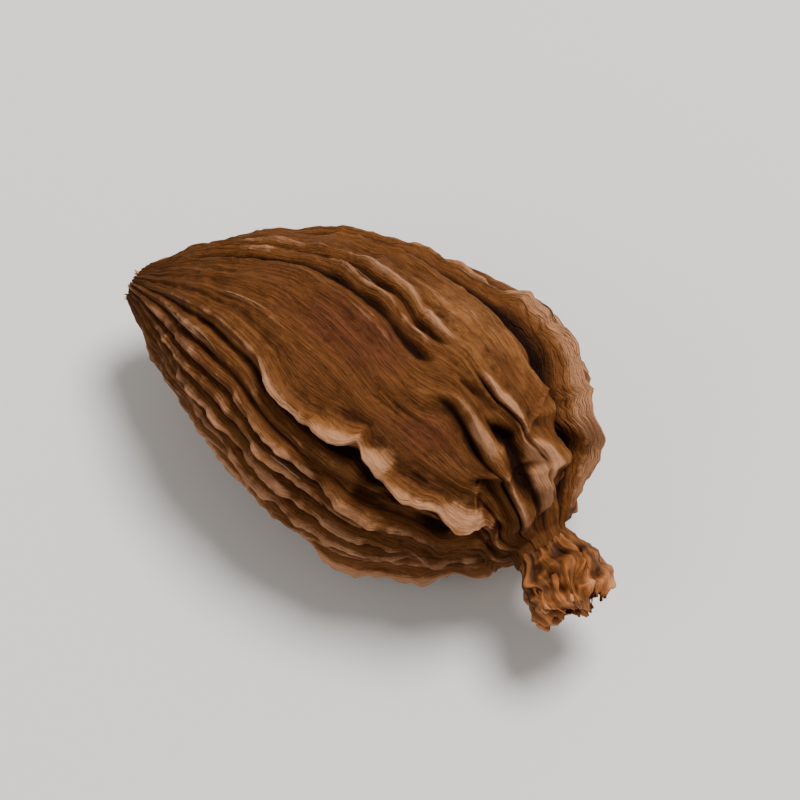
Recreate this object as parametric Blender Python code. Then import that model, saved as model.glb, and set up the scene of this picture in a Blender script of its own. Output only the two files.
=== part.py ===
# A dried black cardamom pod lying on its side. The husk is one ribbed capsule, pressed
# flat where it lies, and the torn remains of the flower stand in a socket at its tip.
# Metres, +Z up, +X from the stalk's scar to the tip, origin on the ground under the middle.

import math
from collections import namedtuple

import bmesh
import bpy
from mathutils import Matrix, Vector, noise

MM = 0.001

# Husk: driving dimensions
HUSK_RADIUS = 6.9 * MM         # at its widest, without the ribs
STALK_REACH = 14.6 * MM        # from the widest place to where the outline would close
TIP_REACH = 9.2 * MM           # from the widest place to where the neck starts
STALK_POWERS = (2.0, 1.0)      # a slender end towards the stalk
TIP_POWERS = (2.2, 2.05)       # and a blunt one towards the tip
NECK_RADIUS = 1.55 * MM
NECK_LENGTH = 0.45 * MM
NECK_BLEND = 3.0               # the lower, the wider the husk runs into its neck
NECK_RIBS = 0.15               # share of a rib's height that is left at the neck's end
NECK_RIBS_FADE = 1.6 * MM
SCAR_RADIUS = 1.0 * MM
SCAR_DEPTH = 0.35 * MM
SOCKET_RADIUS = 1.2 * MM
SOCKET_DEPTH = 1.1 * MM

# How the husk is bent and pressed
FACE_TILT = math.radians(23.5)  # its best side faces up, turned this far towards -Y
SHOULDER_RADIUS = 4.8 * MM      # sections slimmer than this turn towards the neck
NECK_DROP = 1.75 * MM           # the neck sits this far off the middle, on the near side
NECK_TILT = math.radians(26)
SHOULDER_LEAN = 0.5 * MM        # and the shoulder this far, on the far side
SHOULDER_AT = 5.0 * MM
STALK_DROP = 1.6 * MM
STALK_DROP_LENGTH = 11.6 * MM
FLATTENED = 0.95                # depth of the husk for its width
THREE_SIDED = 0.028             # the capsule has three chambers
LUMP_HEIGHT = 0.42 * MM
LUMP_SIZE = 6.5 * MM
PRESS_DEPTH = 0.34 * MM         # how much the flat spot takes off the round body
PRESS_REACH = (5.2 * MM, 3.4 * MM)
PRESS_AT = -0.6 * MM

# Ribs
COLUMNS_PER_RIB = 4             # crest, flank, groove, flank
HUSK_ROWS = 54
STATIONS = (-10.5 * MM, -6.5 * MM, -2.0 * MM, 2.5 * MM, 6.5 * MM)
STATION_REACH = 3.0 * MM        # how far a station's values are felt
SLENDER_SHARE = 0.6             # ribs shrink less than the husk's radius, by this power
CREST_REACH = 0.26 * MM         # half the width of a low crest
CREST_WIDENING = 0.42           # and what a crest's height adds to that
RIB_WAVER = math.radians(0.9)
RIB_WAVER_LENGTH = 5.0 * MM
CRINKLE_LENGTH = 1.9 * MM
CRINKLE_SHARE = 0.42            # of a rib's height
CRINKLE_SWAY = 0.30 * MM
SWAYING_HEIGHT = 0.9 * MM       # ribs sway in full at this height, and lower ones hardly

# Calyx, the flower's remains
CALYX_ROOT_RADIUS = 1.05 * MM   # in the husk's socket
CALYX_ROOT_DEPTH = 0.95 * MM
CALYX_GAP = 0.12 * MM           # from the neck's end to the calyx's shoulder
CALYX_SHOULDER_RADIUS = 1.45 * MM
CALYX_RADIUS = 2.0 * MM
CALYX_SWELL = 1.7 * MM          # over which it grows from the shoulder to its full radius
CALYX_LENGTH = 2.6 * MM         # from the neck to the bottom of the tears
CALYX_WALL = 0.62 * MM
CALYX_HOLLOW = 0.7 * MM         # from the tears down to the withered petals inside
PETALS_RISE = 0.6 * MM
CALYX_COLUMNS = 56
CALYX_ROWS = 10
CREASES = 7
CREASE_DEPTH = 0.13 * MM
CRUMPLE_DEPTH = 0.45 * MM

Rib = namedtuple("Rib", "angles heights groove_at groove_share")
Lobe = namedtuple("Lobe", "angle width length curl")

# The ribs of the side that faces up, from the far edge to the near one. Angles are in
# degrees round the husk from the middle of that side, heights in millimetres, each at the
# five stations from the stalk to the tip. groove_at places the groove between a rib and
# the next, 0 on this one and 1 on that one, and groove_share is its depth for the height.
SEEN_RIBS = (
    Rib((84, 82, 80, 77, 66), (0.20, 0.25, 0.30, 0.55, 1.60), 0.45, 1.00),
    Rib((64, 70, 64, 60, 45), (0.15, 0.12, 0.12, 0.10, 0.20), 0.50, 0.20),
    Rib((50, 57, 46, 31, 27), (0.25, 0.40, 0.45, 0.45, 0.50), 0.45, 0.50),
    Rib((40, 45, 35, 24, 17), (0.20, 0.28, 0.35, 0.32, 0.42), 0.45, 1.20),
    Rib((29, 33, 23, 13, -1), (0.12, 0.10, 0.12, 0.50, 0.75), 0.40, 0.60),
    Rib((18, 21, 13, 1, -12), (0.15, 0.14, 0.10, 0.06, 0.05), 0.50, 0.60),
    Rib((7, 7, 2, -10, -24), (0.15, 0.16, 0.10, 0.05, 0.06), 0.50, 0.60),
    Rib((-4, -7, -17, -23, -37), (0.20, 0.30, 0.60, 1.00, 1.00), 0.50, 0.85),
    Rib((-14, -18, -31, -40, -51), (0.30, 0.35, 0.30, -0.45, -0.40), 0.50, 0.50),
    Rib((-24, -27, -38, -48, -61), (0.35, 0.40, 0.40, 0.60, 0.50), 0.50, 0.50),
    Rib((-34, -36, -46, -56, -68), (0.35, 0.40, 0.45, 0.25, 0.20), 0.50, 0.50),
    Rib((-45, -46, -55, -64, -76), (0.35, 0.40, 0.40, 0.45, 0.40), 0.50, 0.50),
    Rib((-57, -57, -67, -74, -84), (0.40, 0.45, 0.45, 0.35, 0.30), 0.50, 0.50),
    Rib((-70, -70, -79, -85, -92), (0.35, 0.40, 0.45, 0.50, 0.40), 0.50, 0.50),
)

# The ribs of the underside carry on in the same way, by a rule
HIDDEN_RIBS = 11
HIDDEN_HEIGHTS = (0.15, 0.65)
HIDDEN_STRAY = 5
HIDDEN_GROOVE_SHARE = 0.55

# The torn lobes of the calyx: angle round it and width in degrees, length past the tears
# and outward curl in millimetres
LOBES = (
    Lobe(10, 70, 0.8, -0.2),
    Lobe(66, 40, 1.3, 0.6),
    Lobe(118, 66, 0.9, -0.3),
    Lobe(180, 54, 1.2, 0.3),
    Lobe(232, 60, 0.7, -0.3),
    Lobe(286, 34, 1.9, 0.5),
    Lobe(330, 52, 0.9, -0.1),
)

HUSK_COLOUR = (0.20, 0.105, 0.055, 1)
CALYX_COLOUR = (0.33, 0.155, 0.07, 1)

FACE = Vector((0, -math.sin(FACE_TILT), math.cos(FACE_TILT)))  # out of the best side
ACROSS = Vector((0, math.cos(FACE_TILT), math.sin(FACE_TILT)))  # from near edge to far


def smooth(value):
    """0 up to 0, 1 from 1 on, and an even S between them."""
    value = min(1.0, max(0.0, value))
    return value * value * (3 - 2 * value)


def between_stations(x, values):
    """A rib's value at x, blended from its values at the stations."""
    weights = [math.exp(-(((x - station) / STATION_REACH) ** 2)) for station in STATIONS]
    return sum(weight * value for weight, value in zip(weights, values)) / sum(weights)


def all_ribs():
    """The seen ribs, then those that carry on round the underside."""
    ribs = list(SEEN_RIBS)
    first, last = SEEN_RIBS[0], SEEN_RIBS[-1]
    low, high = HIDDEN_HEIGHTS
    for n in range(1, HIDDEN_RIBS + 1):
        share = n / (HIDDEN_RIBS + 1)
        stray = HIDDEN_STRAY * noise.noise(Vector((n * 1.7, 5.3, 0.0)))
        angles = [b + (a - 360 - b) * share + stray for a, b in zip(first.angles, last.angles)]
        heights = [
            low + (high - low) * smooth(0.5 + noise.noise(Vector((n * 1.7, 0.4, k * 0.7))))
            for k in range(len(STATIONS))
        ]
        ribs.append(Rib(angles, heights, 0.5, HIDDEN_GROOVE_SHARE))
    return ribs


RIBS = all_ribs()


def body_radius(x):
    """The plain husk's radius at x: an egg, slender to the stalk, running into the neck."""
    reach, (point, fullness) = (
        (STALK_REACH, STALK_POWERS) if x < 0 else (TIP_REACH, TIP_POWERS)
    )
    share = min(1.0, abs(x) / reach)
    egg = HUSK_RADIUS * (1 - share**point) ** (1 / fullness)
    if x <= 0:
        return egg
    neck = NECK_RADIUS * smooth(x / TIP_REACH)
    return (egg**NECK_BLEND + neck**NECK_BLEND) ** (1 / NECK_BLEND)


def husk_outline():
    """The half outline that the husk is turned from, as rows of x, radius, the normal's two parts
    and the run so far. They are evenly spaced along it, from the scar to the neck's end."""
    fine = 2000
    points = []
    for n in range(fine + 1):
        turn = math.pi * 0.5 * n / fine
        points.append((-STALK_REACH * math.cos(turn), body_radius(-STALK_REACH * math.cos(turn))))
    for n in range(1, fine + 1):
        x = TIP_REACH * math.sin(math.pi * 0.5 * n / fine)
        points.append((x, body_radius(x)))
    points.append((TIP_REACH + NECK_LENGTH, NECK_RADIUS))
    run = [0.0]
    for (x0, r0), (x1, r1) in zip(points, points[1:]):
        run.append(run[-1] + math.hypot(x1 - x0, r1 - r0))
    outline = []
    n = 0
    for row in range(HUSK_ROWS):
        wanted = run[-1] * row / (HUSK_ROWS - 1)
        while n < len(run) - 2 and run[n + 1] < wanted:
            n += 1
        share = (wanted - run[n]) / (run[n + 1] - run[n])
        (x0, r0), (x1, r1) = points[n], points[n + 1]
        slope = math.hypot(x1 - x0, r1 - r0)
        outline.append(
            (
                x0 + (x1 - x0) * share,
                r0 + (r1 - r0) * share,
                (r0 - r1) / slope,
                (x1 - x0) / slope,
                wanted,
            )
        )
    return outline


def crest(index, x, run):
    """The angle and height of a rib's crest at x."""
    rib = RIBS[index % len(RIBS)]
    turns = index // len(RIBS)
    place = index % len(RIBS) * 3.7
    waver = RIB_WAVER * noise.noise(Vector((run / RIB_WAVER_LENGTH, place, 1.5)))
    height = between_stations(x, rib.heights) * MM
    crinkle = noise.noise(Vector((run / CRINKLE_LENGTH, place, 7.5)))
    sway = CRINKLE_SWAY * noise.noise(Vector((run / CRINKLE_LENGTH, place, 13.5)))
    angle = math.radians(between_stations(x, rib.angles)) - turns * math.tau
    angle += waver + sway * min(1.0, height / SWAYING_HEIGHT) ** 2 / HUSK_RADIUS
    return angle, height * (1 + CRINKLE_SHARE * 2 * crinkle)


def groove(index, x, run):
    """The angle and depth of the groove between a rib and the next at x."""
    rib = RIBS[index % len(RIBS)]
    angle, height = crest(index, x, run)
    next_angle = crest(index + 1, x, run)[0]
    return angle + (next_angle - angle) * rib.groove_at, rib.groove_share * abs(height)


def ribbed(column, x, radius, run):
    """The angle and height of the husk's surface at a column of the mesh, at x."""
    index, part = divmod(column, COLUMNS_PER_RIB)
    half = COLUMNS_PER_RIB // 2
    top_angle, top_height = crest(index if part < half else index + 1, x, run)
    bottom_angle, depth = groove(index, x, run)
    if part == 0:
        return top_angle, top_height
    if part == half:
        return bottom_angle, -depth
    # a crest is narrow, and the husk between the crests is nearly plain
    reach = CREST_REACH + CREST_WIDENING * abs(top_height)
    slope = abs(bottom_angle - top_angle) * radius
    down = min(0.5, 1.1 * reach / slope)
    left = math.exp(-((down * slope / reach) ** 1.5))
    return top_angle + (bottom_angle - top_angle) * down, top_height * left - depth * smooth(down)


def section_frame(x, radius):
    """The middle of the husk's cross-section at x, the way along the husk there, and the way
    up to the far edge. Sections that are slimmer than the shoulder turn towards the neck."""
    drop = turn = past = 0.0
    if x > 0:
        slim = smooth((SHOULDER_RADIUS - radius) / (SHOULDER_RADIUS - NECK_RADIUS))
        drop = SHOULDER_LEAN * smooth(x / SHOULDER_AT) * (1 - slim) - NECK_DROP * slim
        turn = -NECK_TILT * slim
        past = max(0.0, x - TIP_REACH)
    elif x < STALK_DROP_LENGTH - STALK_REACH:
        share = (STALK_DROP_LENGTH - STALK_REACH - x) / STALK_DROP_LENGTH
        drop = -STALK_DROP * share**2
    along = Vector((1, 0, 0)) * math.cos(turn) + ACROSS * math.sin(turn)
    up = ACROSS * math.cos(turn) - Vector((1, 0, 0)) * math.sin(turn)
    return Vector((x - past, 0, 0)) + ACROSS * drop + along * past, along, up


def husk_point(x, radius, x_normal, radius_normal, run, column):
    """Where the husk's surface is, for a row of the outline and a column of the mesh."""
    angle, rise = ribbed(column, x, radius, run)
    fade = smooth((x - TIP_REACH - NECK_LENGTH + NECK_RIBS_FADE) / NECK_RIBS_FADE)
    strength = (radius / HUSK_RADIUS) ** SLENDER_SHARE * (1 - (1 - NECK_RIBS) * fade)
    centre, along, up = section_frame(x, radius)
    round_about = FACE * math.cos(angle) + up * math.sin(angle)
    plain = centre + round_about * radius
    lump = LUMP_HEIGHT * noise.noise(plain / LUMP_SIZE)
    three_sided = THREE_SIDED * radius * math.cos(3 * angle)
    pressed = 0.0
    if plain.z < 0:
        from_spot = math.hypot((plain.x - PRESS_AT) / PRESS_REACH[0], plain.y / PRESS_REACH[1])
        pressed = 1 - smooth((from_spot - 0.75) / 0.6)
    rise = rise * strength * (1 - pressed) + lump * strength + three_sided
    point = plain + along * (rise * x_normal) + round_about * (rise * radius_normal)
    return point - FACE * ((1 - FLATTENED) * (point - centre).dot(FACE))


def turned(outline, columns):
    """A closed mesh turned about X from (x, radius) points that start and end on the axis.
    Returns it with the layer that holds each vertex's place in the outline."""
    mesh = bmesh.new()
    row_layer = mesh.verts.layers.int.new("row")
    for row, (x, radius) in enumerate(outline):
        vertex = mesh.verts.new((x, 0, radius))
        vertex[row_layer] = row
    mesh.verts.ensure_lookup_table()
    for a, b in zip(mesh.verts[:-1], mesh.verts[1:]):
        mesh.edges.new((a, b))
    bmesh.ops.spin(
        mesh,
        geom=mesh.verts[:] + mesh.edges[:],
        cent=(0, 0, 0),
        axis=(1, 0, 0),
        angle=math.tau,
        steps=columns,
        use_merge=True,
    )
    bmesh.ops.remove_doubles(mesh, verts=mesh.verts, dist=1e-7)
    bmesh.ops.recalc_face_normals(mesh, faces=mesh.faces)
    return mesh, row_layer


def column_of(vertex, columns):
    """Which column of a turned mesh a vertex stands in."""
    turn = math.atan2(-vertex.co.y, vertex.co.z) % math.tau
    return round(turn / math.tau * columns) % columns


def build_husk():
    neck_end = TIP_REACH + NECK_LENGTH
    rows = [row for row in husk_outline() if row[0] > 0 or row[1] >= SCAR_RADIUS * 0.9]
    socket = [
        (neck_end, SOCKET_RADIUS),
        (neck_end - SOCKET_DEPTH, SOCKET_RADIUS),
        (neck_end - SOCKET_DEPTH, 0.0),
    ]
    outline = [(rows[0][0] + SCAR_DEPTH, 0.0)] + [row[:2] for row in rows] + socket
    columns = len(RIBS) * COLUMNS_PER_RIB
    mesh, row_layer = turned(outline, columns)
    for vertex in mesh.verts:
        row = vertex[row_layer] - 1
        if 0 <= row < len(rows):
            vertex.co = husk_point(*rows[row], column_of(vertex, columns))
            continue
        # the scar's middle and the socket are plain
        x, radius = outline[row + 1]
        centre, along, up = section_frame(neck_end if x > 0 else x, NECK_RADIUS)
        inward = along * (x - neck_end) if x > 0 else Vector()
        angle = ribbed(column_of(vertex, columns), *rows[-1][:2], 0.0)[0]
        vertex.co = centre + inward + (FACE * math.cos(angle) + up * math.sin(angle)) * radius
    ground = -(HUSK_RADIUS * (1 - (1 - FLATTENED) * math.cos(FACE_TILT) ** 2) - PRESS_DEPTH)
    for vertex in mesh.verts:
        vertex.co.z = max(vertex.co.z, ground)
    return mesh, ground


def lobe_reach(angle):
    """How far the torn rim stands past the tears at an angle, and how far it curls out."""
    reach = curl = 0.0
    for lobe in LOBES:
        away = (math.degrees(angle) - lobe.angle + 180) % 360 - 180
        share = max(0.0, 1 - abs(away) / (lobe.width / 2))
        if share > 0:
            reach = max(reach, lobe.length * MM * share**0.65)
            curl += lobe.curl * MM * share
    return reach, curl


def calyx_point(share, inner, angle):
    """Where the calyx's wall is: share runs from its shoulder to its rim, or for the inside
    from the withered petals to the rim."""
    reach, curl = lobe_reach(angle)
    round_about = Vector((0, math.cos(angle), math.sin(angle)))
    start = CALYX_LENGTH - CALYX_HOLLOW if inner else CALYX_GAP
    x = start + (CALYX_LENGTH + reach - start) * share
    grown = smooth(x / CALYX_SWELL)
    radius = CALYX_SHOULDER_RADIUS + (CALYX_RADIUS - CALYX_SHOULDER_RADIUS) * grown
    past = max(0.0, x - CALYX_LENGTH) / MM
    radius += curl * (past / 2.5) ** 1.5 - 0.3 * MM * past
    crease = math.cos(CREASES * angle + 1.3 * math.sin(2 * angle))
    crumple = noise.noise(round_about * 1.9 + Vector((x / MM * 0.55, 4.7, 0)))
    radius += (CREASE_DEPTH * crease + CRUMPLE_DEPTH * crumple) * (0.3 + 0.7 * grown)
    if inner:
        radius -= CALYX_WALL
    swing = angle + 0.3 * grown * noise.noise(round_about + Vector((x / MM * 0.6, 0, 3.1)))
    return Vector((x, -radius * math.sin(swing), radius * math.cos(swing)))


def petals_point(inward, angle):
    """Where the withered petals that fill the calyx are: 0 at its wall, 1 in the middle."""
    edge = calyx_point(0.0, True, angle)
    rise = PETALS_RISE * math.sin(inward * math.pi / 2) if inward < 1 else PETALS_RISE
    return Vector((edge.x + rise, edge.y * (1 - inward), edge.z * (1 - inward)))


def build_calyx():
    root = [(-CALYX_ROOT_DEPTH, 0.0), (-CALYX_ROOT_DEPTH, CALYX_ROOT_RADIUS)]
    root.append((CALYX_GAP, CALYX_ROOT_RADIUS))
    step = CALYX_LENGTH / CALYX_ROWS
    outside = [(CALYX_GAP + step * (n + 1), CALYX_SHOULDER_RADIUS) for n in range(CALYX_ROWS)]
    inside = [(CALYX_LENGTH - step * n, CALYX_ROOT_RADIUS) for n in range(CALYX_ROWS // 2)]
    petals = [(CALYX_LENGTH / 2, CALYX_ROOT_RADIUS * share) for share in (0.7, 0.4, 0.0)]
    mesh, row_layer = turned(root + outside + inside + petals, CALYX_COLUMNS)
    first, second = len(root), len(root) + len(outside)
    third = second + len(inside)
    for vertex in mesh.verts:
        row = vertex[row_layer]
        angle = math.tau * column_of(vertex, CALYX_COLUMNS) / CALYX_COLUMNS
        if first <= row < second:
            vertex.co = calyx_point((row - first) / (second - first - 1), False, angle)
        elif second <= row < third:
            vertex.co = calyx_point(1 - (row - second) / (third - second - 1), True, angle)
        elif row >= third:
            vertex.co = petals_point((row - third + 1) / len(petals), angle)
    return mesh


def material(name, colour, roughness):
    made = bpy.data.materials.new(name)
    made.use_nodes = True
    shader = made.node_tree.nodes["Principled BSDF"]
    shader.inputs["Base Color"].default_value = colour
    shader.inputs["Roughness"].default_value = roughness
    shader.inputs["Metallic"].default_value = 0.0
    return made


def place(name, mesh, finish, parent):
    """Makes a named object of a mesh, under a parent."""
    data = bpy.data.meshes.new(name)
    mesh.to_mesh(data)
    mesh.free()
    data.shade_smooth()
    data.set_sharp_from_angle(angle=math.radians(50))
    data.materials.append(finish)
    made = bpy.data.objects.new(name, data)
    bpy.context.scene.collection.objects.link(made)
    made.parent = parent
    return made


def stand_on_origin(parent, pieces, ground):
    """Moves everything so that the ground is at z 0 and the origin is under the middle of it all."""
    bpy.context.view_layer.update()
    points = [piece.matrix_world @ v.co for piece in pieces for v in piece.data.vertices]
    for axis in (0, 1):
        values = [p[axis] for p in points]
        parent.location[axis] = -(min(values) + max(values)) / 2
    parent.location.z = -ground


def main():
    for old in list(bpy.data.objects):
        bpy.data.objects.remove(old)
    pod = bpy.data.objects.new("pod", None)
    bpy.context.scene.collection.objects.link(pod)
    husk_mesh, ground = build_husk()
    husk = place("husk", husk_mesh, material("husk", HUSK_COLOUR, 0.62), pod)
    calyx = place("calyx", build_calyx(), material("calyx", CALYX_COLOUR, 0.7), pod)
    centre, along, up = section_frame(TIP_REACH + NECK_LENGTH, NECK_RADIUS)
    turn = Matrix((along, up, along.cross(up))).transposed()
    calyx.matrix_local = Matrix.Translation(centre) @ turn.to_4x4()
    stand_on_origin(pod, (husk, calyx), ground)


main()
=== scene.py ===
import math
import random

import bmesh
import bpy
import numpy as np
from mathutils import Matrix, Vector, noise


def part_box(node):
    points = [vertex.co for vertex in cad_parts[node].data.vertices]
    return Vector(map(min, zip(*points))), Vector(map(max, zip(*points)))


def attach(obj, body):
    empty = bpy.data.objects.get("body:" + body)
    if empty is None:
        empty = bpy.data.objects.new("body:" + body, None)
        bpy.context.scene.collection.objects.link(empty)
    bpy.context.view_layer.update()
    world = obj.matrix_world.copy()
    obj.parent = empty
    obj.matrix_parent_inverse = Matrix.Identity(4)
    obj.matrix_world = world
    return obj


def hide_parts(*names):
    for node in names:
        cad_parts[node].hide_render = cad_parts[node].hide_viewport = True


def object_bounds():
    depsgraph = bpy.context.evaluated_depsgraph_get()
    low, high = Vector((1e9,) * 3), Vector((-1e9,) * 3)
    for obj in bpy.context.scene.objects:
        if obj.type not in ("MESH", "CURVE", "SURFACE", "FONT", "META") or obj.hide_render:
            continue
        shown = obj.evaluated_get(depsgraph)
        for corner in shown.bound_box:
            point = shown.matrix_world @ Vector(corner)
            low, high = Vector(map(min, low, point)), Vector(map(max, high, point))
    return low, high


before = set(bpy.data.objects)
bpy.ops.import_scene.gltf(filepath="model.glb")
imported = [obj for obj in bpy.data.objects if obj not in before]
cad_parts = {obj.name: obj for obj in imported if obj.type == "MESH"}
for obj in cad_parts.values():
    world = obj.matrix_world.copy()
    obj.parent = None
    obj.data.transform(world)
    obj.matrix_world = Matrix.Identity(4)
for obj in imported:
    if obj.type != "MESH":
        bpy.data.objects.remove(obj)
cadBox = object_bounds()
mm = 0.001
print("frame loaded")

# The scene is in metres. Lengths in the settings are in millimetres, angles in degrees.


def smooth(value):
    value = np.clip(value, 0.0, 1.0)
    return value * value * (3 - 2 * value)


def at(a, b, c):
    # an array of points from three arrays or numbers
    return np.stack(np.broadcast_arrays(a, b, c), axis=-1).astype(float)


def noiseAt(points, seed=0.0):
    # Perlin noise, about -1 to 1, at an array of points
    flat = np.asarray(points, float).reshape(-1, 3) + (0.0, 0.0, seed)
    return np.array([noise.noise(Vector(p)) for p in flat]).reshape(np.shape(points)[:-1])


def ridges(points, seed=0.0, slope=2.4):
    # 1 along thin wandering lines, falling off to both sides
    return np.clip(1 - slope * np.abs(noiseAt(points, seed)), 0, 1)


def folds(points, seed=0.0, level=0.4):
    # ridges about their middle level, so that they neither swell nor shrink what they lie on
    return ridges(points, seed) - level


# Skins: every piece is rolled from grids of points


def newSkin(floats=(), vectors=()):
    mesh = bmesh.new()
    layers = {key: mesh.verts.layers.float.new(key) for key in floats}
    layers.update({key: mesh.verts.layers.float_vector.new(key) for key in vectors})
    return mesh, layers


def roll(mesh, layers, points, values):
    # rolls rows by columns of points into a closed skin, and keeps the named values on it
    rowCount, columnCount = points.shape[:2]
    grid = bmesh.ops.create_grid(mesh, x_segments=columnCount, y_segments=rowCount - 1, size=0.5)
    for vertex in grid["verts"]:
        row = round((vertex.co.y + 0.5) * (rowCount - 1))
        column = round((vertex.co.x + 0.5) * columnCount) % columnCount
        vertex.co = points[row, column] * mm
        for key, layer in layers.items():
            value = values[key][row, column]
            vertex[layer] = Vector(value) if np.ndim(value) else float(value)
    bmesh.ops.remove_doubles(mesh, verts=grid["verts"], dist=1e-9)


def asPiece(name, mesh):
    data = bpy.data.meshes.new(name)
    mesh.to_mesh(data)
    mesh.free()
    data.shade_smooth()
    piece = bpy.data.objects.new(name, data)
    bpy.context.scene.collection.objects.link(piece)
    return piece


def closed(name, mesh):
    # a piece with all its faces pointing outwards
    bmesh.ops.recalc_face_normals(mesh, faces=mesh.faces)
    return asPiece(name, mesh)


def blade(path, side, widths, thickness, sections=8):
    # rows by columns of points of a thin strip that follows a path and tapers as its widths do
    path = np.asarray(path, float)
    along = np.gradient(path, axis=0)
    face = np.cross(along, side)
    face /= np.linalg.norm(face, axis=1)[:, None]
    across = np.cross(face, along)
    across /= np.linalg.norm(across, axis=1)[:, None]
    turn = math.tau * np.arange(sections) / sections
    thick = np.minimum(thickness, widths)[:, None, None]
    wide = np.asarray(widths)[:, None, None]
    ring = across[:, None] * np.cos(turn)[None, :, None] * wide
    return path[:, None] + ring + face[:, None] * np.sin(turn)[None, :, None] * thick


# Husk form: the same driving sizes as the solid

huskForm = {
    "radius": 6.9, "stalkReach": 14.6, "tipReach": 9.2, "profilePoints": 2001,
    "stalkPowers": (2.0, 1.0), "tipPowers": (2.2, 2.05),
    "neckRadius": 1.55, "neckLength": 0.45, "neckBlend": 3.0, "neckRibs": 0.15, "neckRibsFade": 1.6,
    "scarRim": 0.9, "scarDepth": 0.35,
    "faceTilt": 23.5, "shoulderRadius": 4.8, "neckDrop": 1.75, "neckTilt": 26.0,
    "shoulderLean": 0.5, "shoulderAt": 5.0, "stalkDrop": 1.6, "stalkDropLength": 11.6,
    "flattened": 0.95, "threeSided": 0.028, "lumpHeight": 0.42, "lumpSize": 6.5,
    "pressDepth": 0.34, "pressReach": (5.2, 3.4), "pressAt": -0.6, "pressSoft": (0.75, 0.6),
    "stations": (-10.5, -6.5, -2.0, 2.5, 6.5), "stationReach": 3.0, "slenderShare": 0.6,
    "waver": 0.9, "waverLength": 5.0,
    "crinkleLength": 1.9, "crinkleShare": 0.42, "crinkleSway": 0.30, "swayingHeight": 0.9,
    "hiddenRibs": 11, "hiddenHeights": (0.15, 0.65), "hiddenStray": 5, "hiddenGroove": (0.5, 0.55),
    "noiseSteps": (1.7, 0.7),  # in the noise, from one hidden rib and station to the next
}

# Ribs of the side that faces up, from the far edge to the near one: angles from the middle of
# that side and heights, at the five stations from the stalk to the tip, then the place of the
# groove after the rib and its depth for the rib's height.
seenRibs = (
    ((84, 82, 80, 77, 66), (0.20, 0.25, 0.30, 0.55, 1.60), 0.45, 1.00),
    ((64, 70, 64, 60, 45), (0.15, 0.12, 0.12, 0.10, 0.20), 0.50, 0.20),
    ((50, 57, 46, 31, 27), (0.25, 0.40, 0.45, 0.45, 0.50), 0.45, 0.50),
    ((40, 45, 35, 24, 17), (0.20, 0.28, 0.35, 0.32, 0.42), 0.45, 1.20),
    ((29, 33, 23, 13, -1), (0.12, 0.10, 0.12, 0.50, 0.75), 0.40, 0.60),
    ((18, 21, 13, 1, -12), (0.15, 0.14, 0.10, 0.06, 0.05), 0.50, 0.60),
    ((7, 7, 2, -10, -24), (0.15, 0.16, 0.10, 0.05, 0.06), 0.50, 0.60),
    ((-4, -7, -17, -23, -37), (0.20, 0.30, 0.60, 1.00, 1.00), 0.50, 0.85),
    ((-14, -18, -31, -40, -51), (0.30, 0.35, 0.30, -0.45, -0.40), 0.50, 0.50),
    ((-24, -27, -38, -48, -61), (0.35, 0.40, 0.40, 0.60, 0.50), 0.50, 0.50),
    ((-34, -36, -46, -56, -68), (0.35, 0.40, 0.45, 0.25, 0.20), 0.50, 0.50),
    ((-45, -46, -55, -64, -76), (0.35, 0.40, 0.40, 0.45, 0.40), 0.50, 0.50),
    ((-57, -57, -67, -74, -84), (0.40, 0.45, 0.45, 0.35, 0.30), 0.50, 0.50),
    ((-70, -70, -79, -85, -92), (0.35, 0.40, 0.45, 0.50, 0.40), 0.50, 0.50),
)

faceTilt = math.radians(huskForm["faceTilt"])
faceWay = np.array((0.0, -math.sin(faceTilt), math.cos(faceTilt)))  # out of the side that faces up
acrossWay = np.array((0.0, math.cos(faceTilt), math.sin(faceTilt)))  # from its near edge to the far one
alongWay = np.array((1.0, 0.0, 0.0))


def allRibs(form):
    # the seen ribs, and the hidden ones that carry on round the husk
    ribs = list(seenRibs)
    low, high = form["hiddenHeights"]
    ribStep, stationStep = form["noiseSteps"]
    count = form["hiddenRibs"]
    for n in range(1, count + 1):
        share = n / (count + 1)
        stray = form["hiddenStray"] * noise.noise(Vector((n * ribStep, 5.3, 0.0)))
        angles = [
            last + (first - 360 - last) * share + stray
            for first, last in zip(seenRibs[0][0], seenRibs[-1][0])
        ]
        heights = [
            low + (high - low) * smooth(0.5 + noise.noise(Vector((n * ribStep, 0.4, k * stationStep))))
            for k in range(len(form["stations"]))
        ]
        ribs.append((angles, heights, *form["hiddenGroove"]))
    return ribs


def betweenStations(form, x, values):
    # the values given at the stations, evened out along x
    weights = np.exp(-(((x[:, None] - form["stations"]) / form["stationReach"]) ** 2))
    return weights @ values / weights.sum(axis=1)


def bodyRadius(form, x):
    # the egg of the stalk's half, and that of the tip's half run into the neck
    eggs = []
    for reach, (point, fullness) in (
        (form["stalkReach"], form["stalkPowers"]), (form["tipReach"], form["tipPowers"]),
    ):
        share = np.minimum(1.0, np.abs(x) / reach)
        eggs.append(form["radius"] * (1 - share**point) ** (1 / fullness))
    blend = form["neckBlend"]
    neck = form["neckRadius"] * smooth(x / form["tipReach"])
    return np.where(x < 0, eggs[0], (eggs[1] ** blend + neck**blend) ** (1 / blend))


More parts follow.
